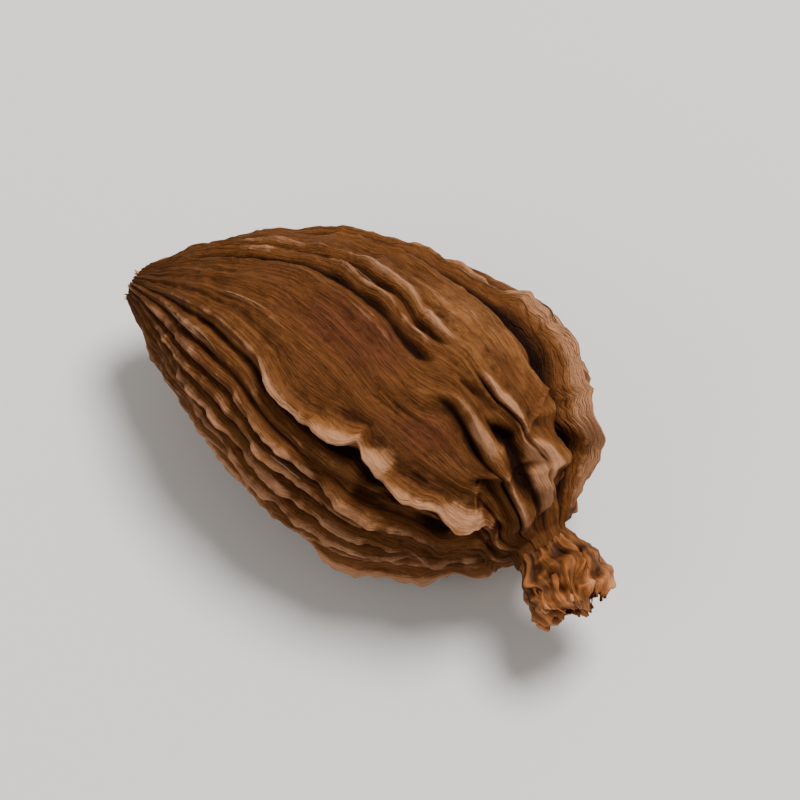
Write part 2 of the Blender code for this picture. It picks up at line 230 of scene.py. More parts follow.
def huskRows(form, count):
    # x, radius, the normal's two parts and the run, evenly spaced from the scar to the neck's end
    turn = np.linspace(0, math.pi / 2, form["profilePoints"])
    x = np.concatenate((-form["stalkReach"] * np.cos(turn), form["tipReach"] * np.sin(turn[1:])))
    radius = bodyRadius(form, x)
    x = np.append(x, form["tipReach"] + form["neckLength"])
    radius = np.append(radius, form["neckRadius"])
    keep = (x > 0) | (radius >= form["scarRim"])
    x, radius = x[keep], radius[keep]
    run = np.concatenate(((0.0,), np.cumsum(np.hypot(np.diff(x), np.diff(radius)))))
    wanted = np.linspace(0, run[-1], count)
    rowX, rowRadius = np.interp(wanted, run, x), np.interp(wanted, run, radius)
    dx, dr = np.gradient(rowX), np.gradient(rowRadius)
    slope = np.hypot(dx, dr)
    return rowX, rowRadius, -dr / slope, dx / slope, wanted


def ribWave(run, length, rib, seed, ribStep=3.7):
    # noise along one rib, with the length of its waves; every rib has its own
    return noiseAt(at(run / length, rib * ribStep, seed))


def ribLines(form, x, run, fine):
    # angle and height of every crest, and angle and depth of the groove after it, rows by ribs
    ribs = allRibs(form)
    calm = 1 - fine["calmShare"] * smooth((x - fine["calmFrom"]) / fine["calmOver"])
    breaking = smooth((x - fine["breakFrom"]) / fine["breakOver"])
    crestAngles, crestHeights, grooveDepths = [], [], []
    for place, (angles, heights, _, grooveShare) in enumerate(ribs):
        height = betweenStations(form, x, heights)
        waver = form["waver"] * ribWave(run, form["waverLength"], place, 1.5)
        sway = form["crinkleSway"] * ribWave(run, form["crinkleLength"], place, 13.5)
        crinkle = form["crinkleShare"] * 2 * ribWave(run, form["crinkleLength"], place, 7.5)
        sway += fine["sway"] * ribWave(run, fine["swayLength"], place, 21.5)
        crinkle += fine["jagShare"] * ribWave(run, fine["jagLength"], place, 3.5) * calm
        broken = smooth(0.5 + 1.5 * ribWave(run, fine["breakLength"], place, 31.5))
        broken = broken * breaking * (1 - smooth(height - fine["unbrokenFrom"]))
        crinkle -= fine["breakShare"] * broken
        swaying = np.minimum(1.0, height / form["swayingHeight"]) ** 2
        step = np.interp(x, *ribSteps[place]) if place in ribSteps else 0.0
        angle = np.radians(betweenStations(form, x, angles) + waver + step)
        crestAngles.append(angle + sway * swaying / form["radius"])
        crestHeights.append(height * (1 + crinkle))
        grooveDepths.append(np.abs(height * (1 + fine["grooveCrinkle"] * crinkle)) * grooveShare)
    crestAngles, crestHeights, grooveDepths = (
        np.array(rows).T for rows in (crestAngles, crestHeights, grooveDepths)
    )
    grooveAt = np.array([rib[2] for rib in ribs])
    grooveAngles = crestAngles + (following(crestAngles) - crestAngles) * grooveAt
    return crestAngles, crestHeights, grooveAngles, grooveDepths


def following(crestAngles):
    # the crest after each one, going round
    shifted = np.roll(crestAngles, -1, axis=1)
    shifted[:, -1] -= math.tau
    return shifted


def ribbed(form, x, radius, run, fine):
    # angle and height of the surface at every row and column, its share of a crest, and its share of a
    # groove, which the colour turns into painted shade
    crestAngles, crestHeights, grooveAngles, grooveDepths = ribLines(form, x, run, fine)
    nextAngles, nextHeights = following(crestAngles), np.roll(crestHeights, -1, axis=1)
    evenShare, steepShare = fine["valleyShares"]
    fields = []
    for place in range(crestAngles.shape[1]):
        columns = fine["seenColumns"] if place < len(seenRibs) else fine["hiddenColumns"]
        grooveAngle, grooveDepth = grooveAngles[:, place], grooveDepths[:, place]
        for part in range(columns):
            before = part < columns / 2
            down = ((part if before else columns - part) * 2 / columns) ** fine["crowding"]
            angles, heights = (crestAngles, crestHeights) if before else (nextAngles, nextHeights)
            topAngle, topHeight = angles[:, place], heights[:, place]
            away = down * np.abs(grooveAngle - topAngle) * radius
            reach = fine["crestReach"] + fine["ribWidening"].get(place + (not before), 0.0)
            reach = reach + fine["crestWidening"] * np.minimum(np.abs(topHeight), fine["widestAt"])
            left = np.exp(-((away / reach) ** fine["crestPower"])) * (1 - down**4)
            valley = evenShare * smooth(down) + steepShare * smooth(down * 2 - 1) ** 1.5
            fromFoot = (away - fine["footAt"] * reach) / (fine["footReach"] * reach)
            foot = np.exp(-(fromFoot**2)) * before * (1 - down**6)
            foot = foot * smooth(topHeight / fine["fullCrest"])
            rise = topHeight * left - grooveDepth * valley - fine["footDepth"] * foot
            crest = left**2 * smooth(topHeight / fine["fullCrest"])
            grooveShade = smooth(down) ** 6 * smooth(grooveDepth / fine["fullGroove"])
            angle = topAngle + (grooveAngle - topAngle) * down
            fields.append((angle, rise, crest, np.maximum(grooveShade, foot * fine["footShade"])))
    return [np.stack(values, axis=1) for values in zip(*fields)]


def sectionFrame(form, x, radius):
    # middle of the cross-section, the way along and the way up to the far edge, row by row
    slim = smooth((form["shoulderRadius"] - radius) / (form["shoulderRadius"] - form["neckRadius"]))
    slim = np.where(x > 0, slim, 0.0)
    lean = form["shoulderLean"] * smooth(x / form["shoulderAt"]) * (1 - slim)
    bend = np.maximum(0, form["stalkDropLength"] - form["stalkReach"] - x) / form["stalkDropLength"]
    drop = np.where(x > 0, lean - form["neckDrop"] * slim, -form["stalkDrop"] * bend**2)
    turn = -math.radians(form["neckTilt"]) * slim
    past = np.maximum(0.0, x - form["tipReach"])
    along = np.outer(np.cos(turn), alongWay) + np.outer(np.sin(turn), acrossWay)
    up = np.outer(np.cos(turn), acrossWay) - np.outer(np.sin(turn), alongWay)
    middle = np.outer(x - past, alongWay) + np.outer(drop, acrossWay) + along * past[:, None]
    return middle, along, up


def pressedShare(form, plain):
    # 1 where the husk is pressed flat by lying, 0 away from there
    reachX, reachY = form["pressReach"]
    flat, soft = form["pressSoft"]
    away = np.hypot((plain[..., 0] - form["pressAt"]) / reachX, plain[..., 1] / reachY)
    return np.where(plain[..., 2] < 0, 1 - smooth((away - flat) / soft), 0.0)


def groundLevel(form):
    # the floor's height in the husk's own frame, where its middle line is at 0
    squeezed = 1 - (1 - form["flattened"]) * faceWay[2] ** 2
    return -(form["radius"] * squeezed - form["pressDepth"])


# What is finer on the husk than on the solid

huskFine = {
    "rows": 290, "seenColumns": 16, "hiddenColumns": 8, "crowding": 1.2,
    # a rib's section: the crest, the fold at its foot, and the valley's even and steep parts
    "crestReach": 0.15, "crestPower": 1.5, "crestWidening": 0.26, "widestAt": 0.9,
    "ribWidening": {2: 0.10, 4: 0.15, 7: 0.08, **dict.fromkeys(range(8, 14), 0.17)},
    "footAt": 1.7, "footReach": 0.6, "footDepth": 0.10, "footShade": 0.45,
    "valleyShares": (0.45, 0.55), "fullCrest": 0.50, "fullGroove": 0.42,
    "lean": 0.40, "leanFrom": 0.35, "plainHeight": 0.22,
    # along a rib: it sways, is jagged up to the calm at the tip, and low ones break up there
    "sway": 0.13, "swayLength": 0.85, "grooveCrinkle": 0.45,
    "jagShare": 0.34, "jagLength": 0.62, "calmShare": 0.75, "calmFrom": 4.0, "calmOver": 4.0,
    "breakShare": 0.75, "breakLength": 1.5, "breakFrom": 4.8, "breakOver": 3.0, "unbrokenFrom": 0.4,
    # the skin as a whole shifts, most at the tip and least at the neck and the scar
    "warp": 0.14, "warpSize": 1.7, "tipWarp": 0.62, "warpFrom": 4.5, "warpOver": 3.5,
    "neckSteady": 0.85, "scarSteady": 2.0,
    # relief: sizes, heights, and what a crest or a place of painted shade takes from them
    "veinSize": (0.50, 0.50, 7.5), "veinPatches": 2.6, "veinHeight": 0.095, "veinLoss": 0.5,
    "wrinkleSize": (1.5, 1.5, 0.50), "wrinklePatches": 3.4, "wrinkleHeight": 0.075,
    "creaseSize": 0.85, "creaseStretch": (0.7, 1.0, 1.0), "creaseHeight": 0.085, "creaseLoss": 0.6,
    "knotSize": (0.9, 0.9, 1.05), "knotGrit": 0.33, "knotHeight": 0.15,
    "dentSize": 1.9, "dentDepth": 0.13, "pitSize": 0.45, "pitDepth": 0.08,
    "crumpleFrom": 5.0, "crumpleOver": 3.4, "crumpleSize": 1.15, "crumpleDepth": 0.55,
    "foldSize": 0.75, "foldDepth": 0.22, "crumpleLoss": 0.4, "paintedShadeLoss": 0.8,
    # how far around a place is averaged to tell what stands out and what lies deep, for painted light and
    # shade
    "cavityReach": 5, "hollowReach": 13,
    "scarRows": 10, "scarRough": 0.16, "scarGrit": 0.38,
    # rows that close the neck's end: share of the way to its middle, and how far out
    "neckEndRows": ((0.08, 0.05), (0.2, 0.02), (0.3, -0.12), (0.32, -0.4), (1.0, -0.5)),
}

# Ribs that step aside, by their number: x, and the degrees towards the far edge
ribSteps = {
    0: ((2.0, 4.5, 6.5, 8.5), (0.0, 3.0, 5.0, 5.0)),
    2: ((3.0, 5.0, 6.5, 8.5), (0.0, -5.5, -7.0, -6.0)),
    4: ((1.5, 4.0, 5.3, 6.5, 7.4, 8.8), (0.0, 5.0, 2.5, -2.0, -6.0, -6.0)),
    7: ((-5.0, -1.5, 1.2, 1.7, 2.4, 3.4, 4.6, 5.4, 6.2, 7.2, 8.5),
        (0.0, -4.0, 6.0, 0.0, -1.5, -4.0, -2.0, 1.5, -2.0, 3.0, 0.0)),
}

# Single places: x, angle, reach along x, reach in angle and strength.
# lumps and hollows, whose strength is their height
huskLumps = (
    (7.9, 22, 0.9, 18, 0.75), (7.6, 40, 0.8, 12, 0.20), (2.4, -23, 1.1, 7, 0.38),
    (6.4, -32, 1.3, 9, 0.38), (4.2, -27, 0.9, 6, -0.10), (0.4, -17, 0.8, 5, 0.15),
    (8.9, 104, 1.7, 58, -0.80), (5.2, -84, 3.2, 18, -0.40), (5.0, 19, 1.6, 6, -0.35),
    (6.6, 12, 1.7, 8, -0.65), (7.6, 2, 1.2, 9, -0.45), (7.4, -17, 1.6, 7, -0.35),
    (4.2, -39, 1.8, 5, -0.25), (5.8, -48, 1.6, 6, -0.25), (0.3, -28, 1.5, 4, -0.20),
    (-3.5, 98, 5.0, 12, -0.30), (8.0, -44, 0.9, 14, 0.35), (6.5, 56, 2.1, 8, -0.35),
    (7.3, 52, 1.4, 8, -0.35),
)
# where the ribs run out, and the share that goes
huskPlain = (
    (2.9, 25, 1.8, 17, 1.8), (1.4, 11, 3.4, 10, 1.8), (5.4, 15, 2.8, 6, 1.7),
    (8.2, 24, 1.2, 22, 1.0), (-3.5, 101, 7.5, 13, 1.8), (7.8, -38, 1.2, 16, 0.5),
    (7.6, 40, 1.3, 8, 0.6),
)
# places that are paler, with painted highlights where the strength passes 1 and painted shade where it is
# below 0; places of painted shade; and places that are redder
huskPaleAndPaintedLight = (
    (1.5, 48, 6.5, 26, 1.3), (3.0, 28, 2.8, 16, 0.8), (-5.5, -8, 4.0, 12, 0.5),
    (8.1, 16, 1.2, 22, 2.8), (2.4, -21, 1.6, 11, 2.1), (6.4, -31, 1.9, 13, 2.0),
    (0.2, -18, 1.8, 6, 1.2), (7.4, 80, 3.4, 15, 2.2), (-4.0, 99, 6.0, 14, -1.5),
    (5.6, 24, 3.0, 6, 0.9), (5.6, 4, 2.6, 7, 1.4), (-4.5, -44, 5.5, 20, 0.6),
    (6.2, -62, 3.4, 24, -1.1),
)
# painted shade: where shadow falls in the pockets, under the ribs, in the wing's fold and along the far
# edge
huskPaintedShade = (
    (5.2, 18, 1.6, 5, 0.6), (6.6, 11, 1.6, 6, 0.9), (7.4, 1, 1.0, 7, 0.8),
    (3.4, 10, 0.9, 4, 0.4), (6.1, -8, 1.2, 4, 0.6), (7.4, -18, 1.5, 6, 0.9),
    (8.9, -10, 0.8, 16, 0.8), (5.2, -37, 2.2, 4, 0.6), (0.3, -27, 1.5, 4, 1.2),
    (2.2, -35, 1.3, 5, 1.4), (4.2, -40, 1.9, 6, 2.2), (6.0, -48, 1.8, 7, 2.0),
    (4.7, 63, 1.6, 4, 0.2), (6.5, 55, 1.9, 6, 0.7), (7.6, 52, 1.4, 8, 0.75),
    (-3.0, 99, 6.5, 13, 0.9), (2.5, 96, 3.5, 10, 0.6),
)
huskRed = ((-1.5, 16, 4.5, 20, 1.0), (4.0, -8, 4.5, 16, 0.8), (-6.5, 28, 3.0, 16, 0.5))


def fineRelief(fine, grain, plain, crest, dark):
    # veins follow the ribs, wrinkles cross them, and dents and pits lie anywhere
    veins = ridges(grain / fine["veinSize"])
    veins = veins * (0.35 + smooth(0.6 + noiseAt(grain / fine["veinPatches"], 4.0)))
    wrinkled = smooth(0.5 + 1.1 * noiseAt(plain / fine["wrinklePatches"], 2.0)) * (0.4 + 0.6 * crest)
    wrinkles = fine["wrinkleHeight"] * noiseAt(grain / fine["wrinkleSize"], 9.0) * wrinkled
    dents = noiseAt(plain / fine["dentSize"], 6.0)
    pits = np.minimum(0, 0.15 + noiseAt(plain / fine["pitSize"], 8.0))
    relief = fine["veinHeight"] * veins * (1 - fine["veinLoss"] * crest) + wrinkles
    # the skin between the ribs is creased like paper
    creases = folds(plain * fine["creaseStretch"] / fine["creaseSize"], 51.0)
    relief = relief + fine["creaseHeight"] * creases * (1 - fine["creaseLoss"] * crest)
    # crests are rubbed and knotted
    knots = noiseAt(grain / fine["knotSize"], 23.0) + 0.5 * noiseAt(plain / fine["knotGrit"], 27.0)
    relief = relief + fine["knotHeight"] * knots * crest
    # the tip is crumpled where the ribs meet, less on the crests and in the places of painted shade
    tip = smooth((plain[..., 0] - fine["crumpleFrom"]) / fine["crumpleOver"])
    crumple = fine["crumpleDepth"] * noiseAt(plain / fine["crumpleSize"], 14.0)
    crumple = crumple + fine["foldDepth"] * folds(plain / fine["foldSize"], 17.0)
    crumple = crumple * tip * (1 - fine["paintedShadeLoss"] * dark) * (1 - fine["crumpleLoss"] * crest)
    return relief + fine["dentDepth"] * dents + fine["pitDepth"] * pits + crumple


def spots(places, x, angle):
    # the strengths of all places in a list, at every row and column
    total = np.zeros_like(angle)
    for middleX, middleAngle, reachX, reachAngle, strength in places:
        turned = (np.degrees(angle) - middleAngle + 180) % 360 - 180
        away = np.hypot((x[:, None] - middleX) / reachX, turned / reachAngle)
        total += strength * (1 - smooth(away))
    return total


def blur(field, reach):
    # a box blur that runs round the husk and stops at its ends
    for axis, mode in ((0, "edge"), (1, "wrap")):
        pad = [(0, 0), (0, 0)]
        pad[axis] = (reach + 1, reach)
        total = np.moveaxis(np.cumsum(np.pad(field, pad, mode=mode), axis=axis), axis, 0)
        size = 2 * reach + 1
        field = np.moveaxis((total[size:] - total[:-size]) / size, 0, axis)
    return field


def huskSurface(form, fine):
    # the skin from the scar's rim to the neck's end, rows by columns, in the husk's own frame
    x, radius, normalX, normalR, run = huskRows(form, fine["rows"])
    angle, rise, crest, grooveShade = ribbed(form, x, radius, run, fine)
    middle, along, up = sectionFrame(form, x, radius)
    fadeFrom = form["tipReach"] + form["neckLength"] - form["neckRibsFade"]
    fade = smooth((x - fadeFrom) / form["neckRibsFade"])
    plainShare = np.clip(spots(huskPlain, x, angle), 0, 1)
    # painted shade: these spots add to the groove's painted shade and take the pale crests away
    paintedShadeShare = np.clip(spots(huskPaintedShade, x, angle), 0, 1.8)
    rise = rise * (1 - plainShare) + fine["plainHeight"] * plainShare
    crest = crest * (1 - plainShare) * (1 - np.minimum(paintedShadeShare, 1))
    grooveShade = grooveShade * (1 - plainShare) + paintedShadeShare
    slender = (radius / form["radius"]) ** form["slenderShare"]
    strength = (slender * (1 - (1 - form["neckRibs"]) * fade))[:, None]
    angle = angle - fine["lean"] * np.maximum(0, rise * strength - fine["leanFrom"]) / radius[:, None]
    roundAbout = np.cos(angle)[..., None] * faceWay + np.sin(angle)[..., None] * up[:, None, :]
    plain = middle[:, None, :] + roundAbout * radius[:, None, None]
    turn = math.tau * np.arange(angle.shape[1]) / angle.shape[1]
    grain = at(form["radius"] * np.cos(turn), form["radius"] * np.sin(turn), run[:, None])
    relief = fineRelief(fine, grain, plain, crest, np.minimum(paintedShadeShare, 1))
    relief = relief * np.minimum(1, strength * 1.4) + spots(huskLumps, x, angle)
    height = (rise * strength + relief) * (1 - pressedShare(form, plain))
    full = height + form["lumpHeight"] * noiseAt(plain / form["lumpSize"]) * strength
    full = full + form["threeSided"] * radius[:, None] * np.cos(3 * angle)
    out = along[:, None, :] * normalX[:, None, None] + roundAbout * normalR[:, None, None]
    points = plain + out * full[..., None]
    warped = fine["warp"] + fine["tipWarp"] * smooth((x - fine["warpFrom"]) / fine["warpOver"])
    warped = warped * (1 - fine["neckSteady"] * fade) * smooth(run / fine["scarSteady"])
    shift = at(*(noiseAt(plain / fine["warpSize"], seed) for seed in (31.0, 37.0, 41.0)))
    points = points + warped[:, None, None] * shift
    offset = points - middle[:, None, :]
    points = points - (1 - form["flattened"]) * (offset @ faceWay)[..., None] * faceWay
    ground = groundLevel(form)
    points[..., 2] = np.maximum(points[..., 2], ground) - ground
    # cavity and hollow carry painted light and shade into the colour: darker where the skin lies low,
    # lighter where it stands out
    return {
        "points": points, "out": out, "grain": grain, "crest": crest,
        "grooveShade": grooveShade * (1 - 0.7 * fade[:, None]),
        "cavity": height - blur(height, fine["cavityReach"]),
        "hollow": height - blur(height, fine["hollowReach"]),
        "pale": spots(huskPaleAndPaintedLight, x, angle), "red": spots(huskRed, x, angle),
        "scar": np.zeros_like(angle),
    }


def scarRows(form, fine, rim):
    # from the middle of the stalk's scar to its rim: a torn, fibrous little bowl
    middle = rim.mean(axis=0)
    rows = []
    for n in range(fine["scarRows"]):
        share = n / fine["scarRows"]
        row = middle + (rim - middle) * share
        rough = fine["scarRough"] * noiseAt(row / fine["scarGrit"]) * math.sin(math.pi * share) ** 0.5
        row[:, 0] += form["scarDepth"] * (1 - share**3) + rough
        rows.append(row)
    return np.array(rows)


def neckEnd(form):
    # the middle of the neck's end, the way out of it, up to the far edge and to its side
    end = np.array([form["tipReach"] + form["neckLength"]])
    middle, along, up = (v[0] for v in sectionFrame(form, end, np.array([form["neckRadius"]])))
    return middle - (0, 0, groundLevel(form)), along, up, np.cross(along, up)


def buildHusk(form, fine):
    surface = huskSurface(form, fine)
    low, high = (np.array(corner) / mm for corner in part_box("husk"))
    own = surface["points"].reshape(-1, 3)
    place = (low + high - own.min(axis=0) - own.max(axis=0)) / 2 * (1, 1, 0)
    surface["points"] = surface["points"] + place
    points = surface["points"]
    middle, along, _, _ = neckEnd(form)
    lip = points[-1]
    inside = [lip + (middle + place - lip) * share + along * out for share, out in fine["neckEndRows"]]
    before = scarRows(form, fine, points[0])
    points = np.concatenate((before, points, inside))
    # what the scar and the neck's end are given, with painted shade inside the neck's end; the rest
    # carries on from the skin beside them
    ends = {"scar": (1.0, 0.0), "cavity": (0.0, -0.05), "hollow": (-0.05, -0.2), "grooveShade": (0.0, 0.6)}
    values = {}
    for key in ("grain", "crest", "grooveShade", "cavity", "hollow", "pale", "red", "scar"):
        field = surface[key]
        first, last = ends.get(key, (field[0], field[-1]))
        values[key] = np.concatenate((
            np.broadcast_to(first, (len(before),) + field.shape[1:]), field,
            np.broadcast_to(last, (len(inside),) + field.shape[1:]),
        ))
    mesh, layers = newSkin([key for key in values if key != "grain"], ["grain"])
    roll(mesh, layers, points, values)
    return closed("husk_skin", mesh), surface, place


# Fibres that have come loose from the husk, and the torn ends in the stalk's scar

fibreForm = {
    "seed": 11, "sections": 6,
    # loose fibres lie along the skin and lift from it at one end
    "loose": 16, "length": (1.6, 4.2), "width": (0.022, 0.045), "thickness": 0.03, "rows": 18,
    "fromRow": 24, "upTo": 0.8, "lift": 0.30, "gap": 0.02, "sunk": 0.1, "aboveFloor": 0.3,
    # stubs stand in the scar's bowl
    "stubs": 26, "stubLength": (0.05, 0.35), "stubWidth": (0.05, 0.11), "stubThickness": 0.06,
    "stubTaper": (1.0, 1.0, 0.85, 0.6, 0.0), "stubSpread": 0.9, "stubRoot": 0.3, "stubFoot": 0.25,
    "stubLean": 0.2, "stubStray": 0.1,
}


def buildFibres(form, surface):
    dice = random.Random(form["seed"])
    mesh, layers = newSkin(["shade"], ["grain"])
    rows, columns = surface["points"].shape[:2]
    stepLength = np.linalg.norm(np.diff(surface["points"][:, 0], axis=0), axis=1).mean()

    def add(path, side, widths, thickness):
        points = blade(path, side, widths, thickness, form["sections"])
        run = np.cumsum(np.linalg.norm(np.gradient(path, axis=0), axis=1))
        grain = at(points[..., 1] * 3, points[..., 2] * 3, run[:, None])
        roll(mesh, layers, points, {"grain": grain, "shade": np.full(points.shape[:2], dice.random())})

    for n in range(form["loose"]):
        length = dice.uniform(*form["length"])
        count = int(length / stepLength)
        first = dice.randrange(form["fromRow"], int(rows * form["upTo"]) - count)
        column = dice.randrange(columns)
        picked = np.linspace(first, first + count, form["rows"]).round().astype(int)
        share = np.linspace(0, 1, form["rows"])
        # an even bow from end to end, raised where the skin stands above it
        ends = surface["points"][[first, first + count // 2, first + count], column]
        path = [np.polyval(np.polyfit((0, 0.5, 1), ends[:, axis], 2), share) for axis in range(3)]
        path = np.stack(path, axis=1)
        out = surface["out"][picked, column]
        under = ((surface["points"][picked, column] - path) * out).sum(axis=1)
        path = path + out * np.maximum(under, -form["sunk"])[:, None] * 0.6
        lift = form["lift"] * dice.random() * np.clip(share * 2 - 1, 0, 1) ** 1.5 + form["gap"]
        path = path + out * lift[:, None]
        if path[:, 2].min() > form["aboveFloor"]:
            width = dice.uniform(*form["width"]) * np.sin(math.pi * np.clip(share, 0.0, 0.97)) ** 0.5
            add(path, np.cross(np.gradient(path, axis=0), out), width, form["thickness"])

    rim = surface["points"][0]
    middle = rim.mean(axis=0)
    taper = np.array(form["stubTaper"])
    share = np.linspace(0, 1, len(taper))[:, None]
    stray = form["stubStray"]
    for n in range(form["stubs"]):
        toRim = rim[dice.randrange(columns)] - middle
        foot = middle + toRim * math.sqrt(dice.random()) * form["stubSpread"]
        length = dice.uniform(*form["stubLength"])
        lean = (foot - middle) * form["stubLean"]
        lean = lean + (0, dice.uniform(-stray, stray), dice.uniform(-stray, stray))
        root = foot + (form["stubRoot"], 0, 0)
        path = root + share * (-length - form["stubFoot"], 0, 0) + lean * share**2
        width = dice.uniform(*form["stubWidth"]) * taper
        add(path, np.array((0, math.cos(n), math.sin(n))), width, form["stubThickness"])
    return closed("husk_fibres", mesh)


# Calyx form: the dried flower's remains, a crumpled cup with torn lobes round withered petals

calyxForm = {
    "shoulderRadius": 1.47, "radius": 1.88, "swell": 1.2, "length": 2.3, "wall": 0.16,
    "root": ((-1.0, 0.0), (-1.0, 1.0), (-0.45, 1.35)),  # x and radius of what stands in the socket
    "columns": 220, "rows": 64, "innerRows": 24, "petalRows": 34,
    "creases": 7, "creaseDepth": 0.16, "crumpleDepth": 0.62, "veins": 23, "veinHeight": 0.05,
    "raggedLength": 0.30, "wrinkleDepth": 0.22, "swing": 0.5, "shift": 0.35, "drawnIn": 0.3,
    "hollow": 0.55, "petalsRise": 0.95, "petalRough": 0.75,
    # shreds torn from the wall and shreds curled inside it, with a number for each kind
    "shreds": (12, 12), "shredShare": (1.0, 0.7), "shredFoot": (0.9, 0.45), "shredBend": (0.32, 0.15),
    # the radius that they stand at, and for both kinds, ranges and sizes
    "tornRadius": 1.82, "curlRadius": (0.5, 1.2), "shredLength": (0.8, 1.9), "shredWidth": (0.07, 0.20),
    "shredThickness": 0.035, "shredTone": (-0.2, 0.9), "shredDepth": 0.15, "shredRows": 14, "seed": 5,
}

# angle round the calyx, width, length past the tears and outward curl of each torn lobe
calyxLobes = (
    (10, 78, 0.7, -0.6), (66, 56, 0.6, 0.0), (118, 72, 0.5, -0.7), (180, 60, 0.9, -0.3),
    (232, 66, 0.6, -0.6), (286, 50, 1.0, -0.1), (330, 62, 0.7, -0.5),
)


def lobeReach(angle):
    reach, curl = np.zeros_like(angle), np.zeros_like(angle)
    for middle, width, length, curled in calyxLobes:
        away = (np.degrees(angle) - middle + 180) % 360 - 180
        share = np.clip(1 - np.abs(away) / (width / 2), 0, 1)
        reach = np.maximum(reach, length * share**0.45)
        curl += curled * share
    return reach, curl


def calyxRing(form, share, inner, angle):
    # a ring of the calyx's wall, and how far each place stands out of its creases, which the colour turns
    # into painted light and shade
    reach, curl = lobeReach(angle)
    ring = at(0.0, np.cos(angle), np.sin(angle))
    ragged = form["raggedLength"] * (noiseAt(ring * 7.0, 5.0) + 0.6 * noiseAt(ring * 17.0, 2.0))
    start = form["length"] - form["hollow"] if inner else 0.0
    x = start + (form["length"] + reach + ragged - start) * share

    def roughAt(across, along, seed=0.0, aside=0.0):
        # noise on the wall, with how often it changes round the ring and along x
        return noiseAt(ring * across + at(x * along, aside, 0.0), seed)

    grown = smooth(x / form["swell"])
    radius = form["shoulderRadius"] + (form["radius"] - form["shoulderRadius"]) * grown
    past = np.maximum(0.0, x - form["length"])
    radius = radius + curl * (past / 2.5) ** 1.5 - form["drawnIn"] * past
    crease = np.cos(form["creases"] * angle + 1.3 * np.sin(2 * angle))
    rough = form["creaseDepth"] * crease + form["crumpleDepth"] * roughAt(1.9, 0.55, aside=4.7)
    vein = np.cos(form["veins"] * angle + 2.0 * roughAt(1.4, 0.3, 3.0))
    wrinkle = roughAt(3.6, 1.6, 6.0) + 0.5 * roughAt(8.0, 3.2, 1.0)
    folded = folds(ring * 2.4 + at(x * 1.1, 0, 0), 15.0)
    detail = form["veinHeight"] * vein + form["wrinkleDepth"] * (wrinkle + folded) * (0.25 + 0.75 * grown)
    radius = radius + rough * (0.2 + 0.8 * grown) + detail - form["wall"] * inner
    swing = angle + form["swing"] * grown * noiseAt(ring * 1.3 + at(x * 0.8, 0.0, 3.1))
    x = x + form["shift"] * grown * roughAt(1.6, 0.7, 8.0, 1.3)
    # tone: painted shade in the creases and folds, painted light where they stand out, and a painted
    # highlight growing towards the lobes' ends
    tone = crease * 0.3 + vein * 0.25 + wrinkle + folded + 1.7 * smooth((x - 0.5) / 2.6) - 0.8
    return at(x, -radius * np.sin(swing), radius * np.cos(swing)), tone


def calyxRings(form, angle):
    # from the root up the wall, down its inside and over the petals, with their tones and depths, which
    # carry painted light and shade
    rings, tones, depths = [], [], []

    def add(ring, tone, depth):
        rings.append(ring)
        tones.append(np.broadcast_to(tone, angle.shape))
        depths.append(np.full_like(angle, depth))

    for x, radius in form["root"]:
        add(at(x, -radius * np.sin(angle), radius * np.cos(angle)), 0.0, 0.0)
    for n in range(form["rows"]):
        add(*calyxRing(form, n / (form["rows"] - 1), False, angle), 0.0)
    for n in range(form["innerRows"]):
        share = 1 - n / (form["innerRows"] - 1)
        add(*calyxRing(form, share, True, angle), 0.35 + 0.65 * (1 - share))
    wall = rings[-1]
    for n in range(1, form["petalRows"] + 1):
        inward = n / form["petalRows"]
        ring = wall * (1, 1 - inward, 1 - inward)
        fold = noiseAt(ring * (0, 1.5, 1.5), 12.0) + 0.5 * folds(ring * (0, 1.1, 1.1), 19.0)
        rough = form["petalRough"] * fold * (1 - inward**8) * smooth(inward * 3)
        ring[:, 0] += form["petalsRise"] * math.sin(inward * math.pi / 2) + rough
        add(ring, fold * 1.8 + 0.3, 0.5 - 0.5 * inward)
    return np.array(rings), np.array(tones), np.array(depths)


def buildCalyx(form, husk, place):
    middle, along, up, side = neckEnd(husk)
    axes = np.array((along, up, side))
    angle = math.tau * np.arange(form["columns"]) / form["columns"]
    rings, tones, depths = calyxRings(form, angle)
    grain = at(2 * np.cos(angle), 2 * np.sin(angle), rings[..., 0])
    mesh, layers = newSkin(["tone", "depth"], ["grain"])
    roll(mesh, layers, rings @ axes + middle + place, {"grain": grain, "tone": tones, "depth": depths})

    dice = random.Random(form["seed"])
    share = np.linspace(0, 1, form["shredRows"])
    for n in range(sum(form["shreds"])):
        inside = n >= form["shreds"][0]
        turn = math.tau * (n + dice.uniform(-0.3, 0.3)) / form["shreds"][inside]
        length = dice.uniform(*form["shredLength"]) * form["shredShare"][inside]
        radius = dice.uniform(*form["curlRadius"]) if inside else form["tornRadius"]
        reach = form["length"] - form["shredFoot"][inside] + share * length
        bow = radius + 0.25 * np.sin(share * 2.6 + n) - form["shredBend"][inside] * share**2
        wander = turn + 0.22 * np.sin(share * 3.1 + n * 2.0) * share
        path = at(reach, -bow * np.sin(wander), bow * np.cos(wander)) @ axes + middle + place
        width = dice.uniform(*form["shredWidth"]) * (1 - share**2.4) * (0.7 + 0.3 * np.sin(share * 9 + n))
        width[-1] = 0.0
        tangent = -math.cos(turn) * up - math.sin(turn) * side
        twisted = tangent + 0.4 * along * math.sin(n)
        points = blade(path, twisted, np.maximum(width, 0), form["shredThickness"])
        grain = at(points[..., 1] * 0.5, points[..., 2] * 0.5, share[:, None] * length)
        tone = np.full(points.shape[:2], dice.uniform(*form["shredTone"]))
        depth = np.full_like(tone, form["shredDepth"])
        roll(mesh, layers, points, {"grain": grain, "tone": tone, "depth": depth})
    return closed("calyx_skin", mesh)


# Materials: shader maths as Python expressions


